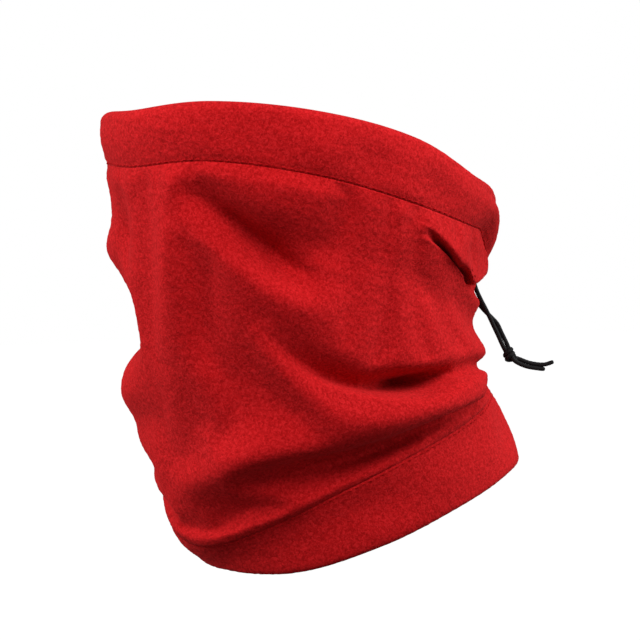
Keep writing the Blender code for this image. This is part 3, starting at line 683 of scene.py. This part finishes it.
def hem_piece(name, outer, normals, hollow, calm, finish):
    """Doubled cloth from the seam to the rim and back, with the hollow between its two layers."""
    height = np.linalg.norm(outer[-1] - outer[0], axis=-1)
    thick = 2 * FLEECE + hollow
    rise = (outer[-1] - outer[0]) / height[:, None]
    face = hem_face(outer, normals, hollow, calm)
    skin = pile(face, normals * calm[..., None])
    top, facing = skin[-1], normals[-1]
    turns = np.radians(np.linspace(0, 180, 11))[1:-1]
    rim = [top + rise * (thick / 2 * math.sin(t)) - facing * (thick / 2 * (1 - math.cos(t))) for t in turns]
    steps = np.linspace(1, 0, 12)
    inner_foot = outer[0] - normals[0] * (2 * FLEECE + FOLD_SLIT)
    inner_top = top - facing * thick
    inner = [inner_foot + (inner_top - inner_foot) * s for s in steps]
    slit_foot = outer[0] - normals[0] * (FLEECE + FOLD_SLIT)
    slit_top = top - facing * (thick - FLEECE)
    slit = [slit_foot + (slit_top - slit_foot) * s for s in (0, 0.4, 0.8, 1)]
    crown = [top + rise * (hollow / 2 * math.sin(t)) - facing * (FLEECE + hollow / 2 * (1 - math.cos(t)))
             for t in np.radians((135, 90, 45))]
    lining = face[::-2] - normals[::-2] * FLEECE
    return grid_object(name, np.concatenate([skin, rim, inner, slit, crown, lining]), finish)


def calm_near_eyelets(outer):
    """1 on the open cloth, falling to 0 where an eyelet holds it flat."""
    calm = np.ones(outer.shape[:2])
    for side in (1, -1):
        place = np.array(eyelet_place(side)[0])
        distance = np.linalg.norm(outer - place, axis=-1)
        calm *= smoothstep(distance, EYELET_FLAT, EYELET_FLAT + EYELET_CALM)
    return calm


def eyelet_place(side):
    """Point on the hem's outer face at the eyelet, with its outward and sideways directions."""
    bearings = np.array([EYELET_BEARING * side, EYELET_BEARING * side - 0.5, EYELET_BEARING * side + 0.5])
    foot, before, after = (Vector(point) for point in ring_points("upper_seam", bearings))
    rim = Vector(ring_points("upper_rim", bearings)[0])
    rise = rim - foot
    outward = rise.normalized().cross(after - before).normalized()
    if outward.y < 0:
        outward.negate()
    across = outward.cross(rise).normalized()
    if across.x * side < 0:
        across.negate()
    return foot + rise * EYELET_HEIGHT + outward * HEM_SWELL, outward, across


def punch_eyelet_holes(hem):
    """Cuts the hem's outer layer open where the eyelets go through it."""
    for side in (1, -1):
        place, outward, _ = eyelet_place(side)
        drill = bmesh.new()
        bmesh.ops.create_cone(drill, cap_ends=True, segments=32, radius1=EYELET_HOLE * MM,
                              radius2=EYELET_HOLE * MM, depth=HOLE_DEPTH * MM)
        mesh = bpy.data.meshes.new("drill")
        drill.to_mesh(mesh)
        drill.free()
        tool = bpy.data.objects.new("drill", mesh)
        bpy.context.collection.objects.link(tool)
        tool.location = (place - outward * HOLE_SINK) * MM
        tool.rotation_euler = outward.to_track_quat("Z", "Y").to_euler()
        bpy.context.view_layer.update()
        cut = hem.modifiers.new("eyelet_hole", "BOOLEAN")
        cut.operation = "DIFFERENCE"
        cut.solver = "EXACT"
        cut.object = tool
        evaluated = hem.evaluated_get(bpy.context.evaluated_depsgraph_get())
        hem.data = bpy.data.meshes.new_from_object(evaluated)
        hem.modifiers.clear()
        bpy.data.objects.remove(tool)


def tube_frames(centres):
    """Directions across a line of centres that turn with it and don't spin."""
    along = np.gradient(centres, axis=0)
    along /= np.linalg.norm(along, axis=1)[:, None]
    side = np.cross(along[0], (0.3, 0.2, 1.0))
    sides = []
    for direction in along:
        side = side - direction * (side @ direction)
        side /= np.linalg.norm(side)
        sides.append(side)
    sides = np.array(sides)
    return sides, np.cross(along, sides)


def tube_rings(centres, radius, sides, relief=None):
    """Rings of points round a line; relief(angle, distance) is a share of the radius."""
    across, over = tube_frames(centres)
    distance = np.concatenate([[0], np.cumsum(np.linalg.norm(np.diff(centres, axis=0), axis=1))])
    angle = np.arange(sides) * 2 * np.pi / sides
    swell = np.ones((len(centres), sides))
    if relief:
        swell += relief(angle[None, :], distance[:, None])
    radii = np.broadcast_to(radius, (len(centres),))[:, None] * swell
    ring = np.cos(angle)[None, :, None] * across[:, None] + np.sin(angle)[None, :, None] * over[:, None]
    return centres[:, None] + ring * radii[..., None]


def tubes_object(name, tubes, finish):
    """One mesh of several closed tubes, each an array of rings."""
    points, faces = [], []
    for rings in tubes:
        rows, sides = rings.shape[:2]
        first = len(points)
        points.extend((rings.reshape(-1, 3) * MM).tolist())
        for row in range(rows - 1):
            low, high = first + row * sides, first + (row + 1) * sides
            for index in range(sides):
                after = (index + 1) % sides
                faces.append((low + index, low + after, high + after, high + index))
        faces.append(tuple(range(first + sides - 1, first - 1, -1)))
        last = first + (rows - 1) * sides
        faces.append(tuple(range(last, last + sides)))
    mesh = bpy.data.meshes.new(name)
    mesh.from_pydata(points, [], faces)
    mesh.shade_smooth()
    mesh.materials.append(finish)
    obj = bpy.data.objects.new(name, mesh)
    bpy.context.collection.objects.link(obj)
    return obj


def even(points, spacing):
    """Evenly spaced points on a smooth curve through the given ones."""
    dense = catmull(points, 16)
    lengths = np.concatenate([[0], np.cumsum(np.linalg.norm(np.diff(dense, axis=0), axis=1))])
    places = np.linspace(0, lengths[-1], max(4, round(lengths[-1] / spacing) + 1))
    return np.stack([np.interp(places, lengths, dense[:, axis]) for axis in range(3)], -1)


def hem_stitches(name, outer, normals, hollow, calm, finish):
    """A row of lockstitches sunk into the hem just beside its seam."""
    face = hem_face(outer, normals, hollow, calm)
    rise = np.linalg.norm(face[1] - face[0], axis=-1).mean()
    row = max(1, round(STITCH_LINE / rise))
    tubes = []
    for first in range(0, COLUMNS, STITCH_COLUMNS):
        centres = []
        for step, lift in STITCH_ROUTE:
            low = int(first + step)
            share = first + step - low
            after = (low + 1) % COLUMNS
            low %= COLUMNS
            place = face[row, low] * (1 - share) + face[row, after] * share
            centres.append(place + normals[row, low] * lift)
        tubes.append(tube_rings(np.array(centres), STITCH_RADIUS, 6))
    return tubes_object(name, tubes, finish)


def cloth_at(sheet, normals, low, high, bearing, share, depth):
    """A point below the panel's outer face at a bearing and a share of the height."""
    row = low + share * (high - low)
    column = bearing % 360 / 360 * COLUMNS
    r, c = int(row), int(column)
    u, v = row - r, column - c
    corners = (0, 0, (1 - u) * (1 - v)), (1, 0, u * (1 - v)), (0, 1, (1 - u) * v), (1, 1, u * v)
    total = np.zeros(3)
    for dr, dc, weight in corners:
        index = min(r + dr, high), (c + dc) % COLUMNS
        total += weight * (sheet[index] - normals[index] * depth)
    return total


def strip(name, sample, columns, rows, finish):
    """A closed strip from sample(across, up, face), all from 0 to 1, with face 0 or 1."""
    ring = [(column, 0) for column in range(columns)] + [(column, 1) for column in range(columns - 1, -1, -1)]
    points = [sample(column / (columns - 1), row / (rows - 1), face)
              for row in range(rows) for column, face in ring]
    rings = np.array(points).reshape(rows, len(ring), 3)
    return tubes_object(name, [rings], finish)


def back_seam_piece(sheet, normals, low, high, finish):
    """The seam allowance inside the nape: two raw edges pressed open, with a groove between them."""
    bottom, top = SEAM_HEIGHTS

    def sample(across, up, face):
        bearing = (across - 0.5) * SEAM_DEGREES
        share = bottom + (top - bottom) * up
        edge = abs(across - 0.5) * 2
        ripple = 0.25 * math.sin(up * 61 + across * 5) + 0.15 * math.sin(up * 143)
        height = SEAM_THICK * (1 - edge ** 6) * (0.55 + 0.45 * min(1, edge * 4)) + ripple * 0.4
        depth = FLEECE + SEAM_GAP + (height if face else 0)
        return cloth_at(sheet, normals, low, high, bearing, share, depth)

    return strip("back_seam_allowance", sample, 13, 110, finish)


def label_piece(sheet, normals, low, high, finish):
    """A blank satin label sewn in at the nape, its free end lifting a little off the cloth."""
    first, last = LABEL_BEARINGS
    bottom, top = LABEL_HEIGHTS

    def sample(across, up, face):
        bearing = first + (last - first) * across
        share = bottom + (top - bottom) * up
        lift = LABEL_LIFT * (1 - up) ** 2 + 0.25 * math.sin(across * 7 + up * 3)
        depth = FLEECE + LABEL_GAP + lift + (LABEL_THICK if face else 0)
        return cloth_at(sheet, normals, low, high, bearing, share, depth)

    return strip("satin_label", sample, 17, 40, finish)


def run_frame():
    """Directions along the strands and from the inner to the outer strand, and square to both."""
    along = (KNOT_CENTRE - RUN_START).normalized()
    across = (Vector((1, 0, 0)) - along * along.x).normalized()
    apart = across.cross(along).normalized()
    if apart.y < 0:
        apart.negate()
    return along, apart, along.cross(apart)


def strand_points(side, word):
    """One strand's route: out of the hem, down the run, through the knot and out to its cut end."""
    place, outward, across = eyelet_place(side)
    along, apart, beside = run_frame()

    def offset(pitches, twist):
        turn = math.radians(twist)
        return (apart * math.cos(turn) + beside * math.sin(turn)) * CORD_PITCH / 2 * pitches * side

    start = [place + across * aside - outward * deep for aside, deep in CORD_WAY_OUT]
    run = [RUN_START + along * step + offset(pitches, twist) + RUN_BOW * bow
           for step, pitches, twist, bow in RUN]
    out, up = CORD_LOOP
    middle = (start[-1] + run[0]) / 2 + outward * out + Vector((0, 0, up))
    end = TAIL_ENDS[word]
    leaving = (along * 0.5 + (end - KNOT_CENTRE).normalized() * 0.85).normalized()
    inside = [KNOT_CENTRE - along * 3.4 + offset(0.8, 195), KNOT_CENTRE + offset(0.8, 270),
              KNOT_CENTRE + leaving * 3.9 + offset(0.85, 345)]
    sag = Vector((0, 0, -TAIL_SAG))
    gap = (TAIL_ENDS["right"] - TAIL_ENDS["left"]) * (0.5 if word == "left" else -0.5)
    tail = [inside[-1].lerp(end, way) + sag * low + gap * nearer for way, low, nearer in TAIL_BENDS]
    return even([tuple(point) for point in [*start, middle, *run, *inside, *tail, end]], CORD_SPACING)


def braid(angle, distance):
    """The crossed yarns of a braided cover, as a share of the radius."""
    round_it, along_it = BRAID_YARNS * angle, BRAID_SLANT * distance
    left, right = np.cos(round_it + along_it), np.cos(round_it - along_it)
    return BRAID_RELIEF * np.maximum(left, right) - BRAID_SINK


def cord_piece(side, word, finish):
    centres = strand_points(side, word)
    radius = np.full(len(centres), CORD_RADIUS)
    radius[-3:] = CORD_RADIUS * np.array((0.97, 0.86, 0.55))
    rings = tube_rings(centres, radius, CORD_SIDES, braid)
    piece = tubes_object(f"drawcord_{word}", [rings], finish)
    return piece, centres


def knot_piece(finish):
    """Overhand knot: both strands wrap once round themselves and tuck in at each end."""
    along, apart, beside = run_frame()
    tubes = []
    for shift in (-1.0, 1.05):
        centres = []
        for step in np.linspace(-0.1, 1.12, 60):
            turn = 2 * math.pi * step + 0.6
            tuck = 1.25 * (smoothstep(step, -0.1, 0.1) * smoothstep(1.12 - step, 0, 0.2)) + 0.9
            lift = shift + (step - 0.5) * 3.6 + 0.5 * math.cos(turn + 0.8)
            around = apart * math.cos(turn) + beside * math.sin(turn)
            centres.append(KNOT_CENTRE + along * lift + around * tuck)
        points = np.array([tuple(point) for point in centres])
        tubes.append(tube_rings(points, CORD_RADIUS, CORD_SIDES, braid))
    return tubes_object("overhand_knot", tubes, finish)


def settle(sheet, low, high):
    """Hangs the slack cloth between its hems in a cloth simulation and takes up how it settles."""
    rows = np.linspace(low, high, SETTLE_ROWS).round().astype(int)
    columns = np.arange(0, COLUMNS, SETTLE_STRIDE)
    start = sheet[np.ix_(rows, columns)]
    count = len(columns)
    index = np.arange(len(rows) * count).reshape(len(rows), count)
    faces = np.stack([index[:-1], np.roll(index, -1, 1)[:-1], np.roll(index, -1, 1)[1:], index[1:]], -1)
    mesh = bpy.data.meshes.new("settling")
    mesh.from_pydata((start.reshape(-1, 3) * MM).tolist(), [], faces.reshape(-1, 4).tolist())
    cloth = bpy.data.objects.new("settling", mesh)
    bpy.context.collection.objects.link(cloth)
    held = cloth.vertex_groups.new(name="held")
    for row in range(len(rows)):
        firm = 1.0 if row in (0, len(rows) - 1) else SETTLE_HOLD
        held.add(index[row].tolist(), firm, "REPLACE")
    modifier = cloth.modifiers.new("cloth", "CLOTH")
    settings = modifier.settings
    settings.quality = 6
    settings.mass = 0.25
    settings.tension_stiffness = 15
    settings.compression_stiffness = 15
    settings.shear_stiffness = 6
    settings.bending_stiffness = 12
    settings.effector_weights.gravity = 0.8
    settings.shrink_min = -0.02
    settings.vertex_group_mass = "held"
    settings.pin_stiffness = 0.6
    modifier.point_cache.frame_start = 1
    modifier.point_cache.frame_end = SETTLE_FRAMES
    scene = bpy.context.scene
    for step in range(1, SETTLE_FRAMES + 1):
        scene.frame_set(step)
    settled = bpy.data.meshes.new_from_object(cloth.evaluated_get(bpy.context.evaluated_depsgraph_get()))
    moved = np.zeros(len(settled.vertices) * 3)
    settled.vertices.foreach_get("co", moved)
    bpy.data.objects.remove(cloth)
    scene.frame_set(1)
    drift = moved.reshape(len(rows), count, 3) / MM - start
    size = np.linalg.norm(drift, axis=-1, keepdims=True)
    drift *= np.minimum(1, SETTLE_LIMIT / np.maximum(size, 1e-6))
    sheet[low:high + 1] += upsampled(drift, rows - low, columns, high - low + 1)
    return sheet


def upsampled(field, rows, columns, row_count):
    """Spreads a coarse field over the fine grid, smoothly in both directions."""
    wide = np.concatenate([field, field[:, :1]], 1)
    places = np.append(columns, COLUMNS)
    around = np.stack([[np.interp(np.arange(COLUMNS), places, line[:, axis]) for axis in range(3)]
                       for line in wide]).transpose(0, 2, 1)
    fine = np.stack([[np.interp(np.arange(row_count), rows, around[:, column, axis]) for axis in range(3)]
                     for column in range(COLUMNS)]).transpose(2, 0, 1)
    for _ in range(3):
        fine = (np.roll(fine, 1, 1) + fine * 2 + np.roll(fine, -1, 1)) / 4
        fine[1:-1] = (fine[:-2] + fine[1:-1] * 2 + fine[2:]) / 4
    return fine


def node_material(name, roughness, specular=0.3):
    made = bpy.data.materials.new(name)
    made.use_nodes = True
    shader = made.node_tree.nodes["Principled BSDF"]
    shader.inputs["Roughness"].default_value = roughness
    shader.inputs["Specular IOR Level"].default_value = specular
    return made, made.node_tree, shader


def noise(tree, scale, detail=3.0, distortion=0.0):
    coordinates = tree.nodes.new("ShaderNodeTexCoord")
    made = tree.nodes.new("ShaderNodeTexNoise")
    made.inputs["Scale"].default_value = scale
    made.inputs["Detail"].default_value = detail
    made.inputs["Distortion"].default_value = distortion
    tree.links.new(coordinates.outputs["Object"], made.inputs["Vector"])
    return made.outputs["Fac"]


def ramp(tree, source, stops):
    made = tree.nodes.new("ShaderNodeValToRGB")
    elements = made.color_ramp.elements
    while len(elements) < len(stops):
        elements.new(0.5)
    for element, (place, colour) in zip(elements, stops):
        element.position = place
        element.color = (*colour, 1)
    tree.links.new(source, made.inputs["Fac"])
    return made.outputs["Color"]


def bump(tree, shader, heights):
    """Chains bumps of (height output, strength, distance) into the shader's normal."""
    normal = None
    for height, strength, distance in heights:
        made = tree.nodes.new("ShaderNodeBump")
        made.inputs["Strength"].default_value = strength
        made.inputs["Distance"].default_value = distance
        tree.links.new(height, made.inputs["Height"])
        if normal:
            tree.links.new(normal, made.inputs["Normal"])
        normal = made.outputs["Normal"]
    tree.links.new(normal, shader.inputs["Normal"])


def fleece_material():
    """Red polar fleece: curled pile about 1 mm across, with painted shade darkening its pits, and a fine fuzz over it.
    """
    made, tree, shader = node_material("red_fleece", 0.95, 0.1)
    shader.inputs["Sheen Weight"].default_value = 0.06
    shader.inputs["Sheen Roughness"].default_value = 0.5
    shader.inputs["Sheen Tint"].default_value = (1.0, 0.1, 0.1, 1.0)
    curl = noise(tree, 900, 3.0, 0.8)
    fuzz = noise(tree, 1500, 2.0)
    patch = noise(tree, 28, 2.0)
    # The curl noise is also the bump's height. Its low values, the pits, get a darker red, which is painted shade; the
    # rest of the spread is the pile's own uneven tone.
    pile_tone_and_pit_shade = ramp(tree, curl, ((0.33, (0.37, 0.0032, 0.004)), (0.48, (0.50, 0.006, 0.0078)),
                              (0.66, (0.64, 0.013, 0.016))))
    worn = ramp(tree, patch, ((0.3, (0.93, 0.93, 0.93)), (0.7, (1, 1, 1))))
    mix = tree.nodes.new("ShaderNodeMixRGB")
    mix.blend_type = "MULTIPLY"
    mix.inputs["Fac"].default_value = 1.0
    tree.links.new(pile_tone_and_pit_shade, mix.inputs["Color1"])
    tree.links.new(worn, mix.inputs["Color2"])
    tree.links.new(mix.outputs["Color"], shader.inputs["Base Color"])
    bump(tree, shader, ((curl, 0.5, 0.0006), (fuzz, 0.35, 0.0003)))
    return made


def thread_material():
    made, tree, shader = node_material("red_thread", 0.9, 0.05)
    twist = noise(tree, 2600, 2.0)
    tree.links.new(ramp(tree, twist, ((0.3, (0.30, 0.003, 0.004)), (0.7, (0.50, 0.007, 0.009)))),
                   shader.inputs["Base Color"])
    bump(tree, shader, ((twist, 0.4, 0.0002),))
    return made


def cord_material():
    made, tree, shader = node_material("black_elastic_cord", 0.75, 0.2)
    yarn = noise(tree, 3200, 2.0)
    tree.links.new(ramp(tree, yarn, ((0.3, (0.004, 0.004, 0.0045)), (0.7, (0.012, 0.012, 0.013)))),
                   shader.inputs["Base Color"])
    bump(tree, shader, ((yarn, 0.5, 0.0001),))
    return made


def plastic_material():
    made, tree, shader = node_material("black_plastic", 0.42, 0.45)
    grain = noise(tree, 2200, 2.0)
    tree.links.new(ramp(tree, grain, ((0.3, (0.010, 0.010, 0.011)), (0.7, (0.018, 0.018, 0.019)))),
                   shader.inputs["Base Color"])
    bump(tree, shader, ((grain, 0.25, 0.00006),))
    return made


def metal_material(name, low, high, roughness, scale):
    made, tree, shader = node_material(name, roughness, 0.5)
    shader.inputs["Metallic"].default_value = 1.0
    wear = noise(tree, scale, 4.0)
    tree.links.new(ramp(tree, wear, ((0.35, low), (0.7, high))), shader.inputs["Base Color"])
    bump(tree, shader, ((wear, 0.15, 0.00005),))
    return made


def label_material():
    made, tree, shader = node_material("white_satin_label", 0.42, 0.5)
    weave = noise(tree, 1800, 2.0)
    tree.links.new(ramp(tree, weave, ((0.3, (0.70, 0.70, 0.68)), (0.7, (0.84, 0.84, 0.82)))),
                   shader.inputs["Base Color"])
    shader.inputs["Anisotropic"].default_value = 0.5
    bump(tree, shader, ((weave, 0.3, 0.0001),))
    return made


def camera():
    turn, tilt = math.radians(VIEW_AZIMUTH), math.radians(VIEW_ELEVATION)
    back = Vector((math.sin(turn) * math.cos(tilt), -math.cos(turn) * math.cos(tilt), math.sin(tilt)))
    right = Vector((math.cos(turn), math.sin(turn), 0))
    up = back.cross(right)
    aim = right * VIEW_AIM[0] + up * VIEW_AIM[1]
    data = bpy.data.cameras.new("camera")
    data.angle = 2 * math.atan(VIEW_WIDTH / 2 / VIEW_DISTANCE)
    data.clip_start = 0.01
    view = bpy.data.objects.new("camera", data)
    view.location = (aim + back * VIEW_DISTANCE) * MM
    view.rotation_euler = back.to_track_quat("Z", "Y").to_euler()
    bpy.context.collection.objects.link(view)
    bpy.context.scene.camera = view
    return right, up, back


def area_light(name, place, aim, size, power):
    data = bpy.data.lights.new(name, "AREA")
    data.shape = "RECTANGLE"
    data.size, data.size_y = size
    data.energy = power
    lamp = bpy.data.objects.new(name, data)
    lamp.location = place
    lamp.rotation_euler = (Vector(place) - Vector(aim)).to_track_quat("Z", "Y").to_euler()
    bpy.context.collection.objects.link(lamp)


def studio(right, up, back):
    scene = bpy.context.scene
    scene.view_settings.view_transform = "Standard"
    world = bpy.data.worlds.new("studio")
    scene.world = world
    world.use_nodes = True
    tree = world.node_tree
    seen = tree.nodes["Background"]
    seen.inputs["Color"].default_value = (1, 1, 1, 1)
    fill = tree.nodes.new("ShaderNodeBackground")
    fill.inputs["Strength"].default_value = FILL_STRENGTH
    mix = tree.nodes.new("ShaderNodeMixShader")
    rays = tree.nodes.new("ShaderNodeLightPath")
    tree.links.new(rays.outputs["Is Camera Ray"], mix.inputs["Fac"])
    tree.links.new(fill.outputs["Background"], mix.inputs[1])
    tree.links.new(seen.outputs["Background"], mix.inputs[2])
    tree.links.new(mix.outputs["Shader"], tree.nodes["World Output"].inputs["Surface"])
    for name, (along, high, toward), size, power in LIGHTS:
        area_light(name, right * along + up * high + back * toward, (0, 0, 0), size, power)
    mesh = bpy.data.meshes.new("floor")
    reach, low = FLOOR_REACH, CAD_BOX[0][2] - FLOOR_DROP
    mesh.from_pydata([(-reach, -reach, low), (reach, -reach, low), (reach, reach, low), (-reach, reach, low)],
                     [], [(0, 1, 2, 3)])
    plain = bpy.data.materials.new("pale_floor")
    plain.use_nodes = True
    shader = plain.node_tree.nodes["Principled BSDF"]
    shader.inputs["Base Color"].default_value = (0.2, 0.2, 0.2, 1)
    shader.inputs["Emission Color"].default_value = (1, 1, 1, 1)
    shader.inputs["Emission Strength"].default_value = FLOOR_GLOW
    mesh.materials.append(plain)
    floor = bpy.data.objects.new("floor", mesh)
    bpy.context.collection.objects.link(floor)
    floor.visible_diffuse = False
    floor.visible_glossy = False
    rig.stage(floor)


def declare(piece, body, slot, *nodes):
    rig.ride(piece, body)
    if nodes:
        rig.replaces(piece, *nodes)
    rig.slot(piece, slot)


def soft_tube(fleece, thread, label):
    """The fleece, its stitches, the seam inside it and the label."""
    sheet, low, high = cloth_sheet()
    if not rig.quick():
        sheet = settle(sheet, low, high)
    normals = grid_normals(sheet)
    upper_outer, upper_normals = sheet[high:], normals[high:]
    lower_outer, lower_normals = sheet[low::-1], normals[low::-1]
    calm = calm_near_eyelets(upper_outer)
    plain = np.ones(lower_outer.shape[:2])
    body = panel_piece(sheet, normals, low, high, fleece)
    upper = hem_piece("upper_hem_fleece", upper_outer, upper_normals, CHANNEL_WIDTH, calm, fleece)
    lower = hem_piece("lower_hem_fleece", lower_outer, lower_normals, FOLD_SLIT, plain, fleece)
    punch_eyelet_holes(upper)
    declare(body, "gaiter", "red_fleece", "body_panel")
    declare(upper, "gaiter", "red_fleece", "upper_hem")
    declare(lower, "gaiter", "red_fleece", "lower_hem")
    upper_row = hem_stitches("upper_hem_stitches", upper_outer, upper_normals, CHANNEL_WIDTH, calm, thread)
    lower_row = hem_stitches("lower_hem_stitches", lower_outer, lower_normals, FOLD_SLIT, plain, thread)
    declare(upper_row, "gaiter", "red_thread", "upper_hem_thread")
    declare(lower_row, "gaiter", "red_thread", "lower_hem_thread")
    allowance = back_seam_piece(sheet, normals, low, high, fleece)
    declare(allowance, "gaiter", "red_fleece", "back_seam")
    tag = label_piece(sheet, normals, low, high, label)
    declare(tag, "gaiter", "white_satin_label", "care_label")
    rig.sheet(body, flat=PANEL_FLAT, area=PANEL_AREA, held="gathered", with_pieces=[allowance, tag])
    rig.sheet(upper, flat=HEM_FLAT, held="folded", with_pieces=[upper_row])
    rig.sheet(lower, flat=HEM_FLAT, held="folded", with_pieces=[lower_row])
    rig.sheet(tag, flat=LABEL_FLAT, held="hung", rests_on=["back_seam"])


def drawcord(cord, nodes):
    """Both strands with their tails, and the knot that joins them."""
    knot = knot_piece(cord)
    declare(knot, "cord_end", "black_elastic_cord", "cord_knot")
    along, _, _ = run_frame()
    for side, word in ((1, "left"), (-1, "right")):
        piece, centres = cord_piece(side, word, cord)
        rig.replaces(piece, f"cord_strand_{word}", f"cord_tail_{word}")
        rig.slot(piece, "black_elastic_cord")
        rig.blend(piece, "gaiter", "cord_end", start=tuple((RUN_START + along * STRETCH_FROM) * MM),
                 end=tuple((KNOT_CENTRE - along * 6) * MM))
        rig.cord(piece, exit=tuple(eyelet_place(side)[0] * MM), length=CORD_LENGTHS[word],
                diameter=2 * CORD_RADIUS * MM, far_end="bare", stiffness="limp", lay="hanging",
                path=(centres * MM).tolist(),
                with_pieces=[knot] + [nodes[name] for name in LOCK_NODES])


def finish_nodes(nodes, cord):
    """Gives the CAD nodes that keep their shape their real materials."""
    plastic = plastic_material()
    black_metal = metal_material("black_metal", (0.015, 0.015, 0.017), (0.05, 0.05, 0.053), 0.38, 900)
    steel = metal_material("spring_steel", (0.5, 0.5, 0.52), (0.68, 0.68, 0.7), 0.3, 1500)
    looks = {"channel_cord": cord, "cord_lock_barrel": plastic, "cord_lock_plunger": plastic,
             "cord_lock_spring": steel, "eyelet_left": black_metal, "eyelet_right": black_metal,
             "eyelet_washer_left": black_metal, "eyelet_washer_right": black_metal}
    for name, finish in looks.items():
        nodes[name].data.materials.clear()
        nodes[name].data.materials.append(finish)
    press, anchor = spring_seat()
    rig.squash(nodes["cord_lock_spring"], "lock_button_press", press, anchor, keep=SPRING_KEEP)


def spring_seat():
    """The way the lock's button is pressed, and the floor that its spring stands on."""
    along, _, _ = run_frame()
    press = (Vector((1, 0, 0)) - along * along.x).normalized()
    centre = RUN_START + along * LOCK_ALONG_RUN
    return tuple(press), tuple((centre + press * SPRING_FLOOR) * MM)


def main():
    right, up, back = camera()
    studio(right, up, back)
    cord = cord_material()
    drawcord(cord, frame["nodes"])
    soft_tube(fleece_material(), thread_material(), label_material())
    finish_nodes(frame["nodes"], cord)
    with open("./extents.json", "w") as out:
        json.dump({"cad": [list(v) for v in CAD_BOX], "visual": [list(v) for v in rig.bounds()]}, out)


main()
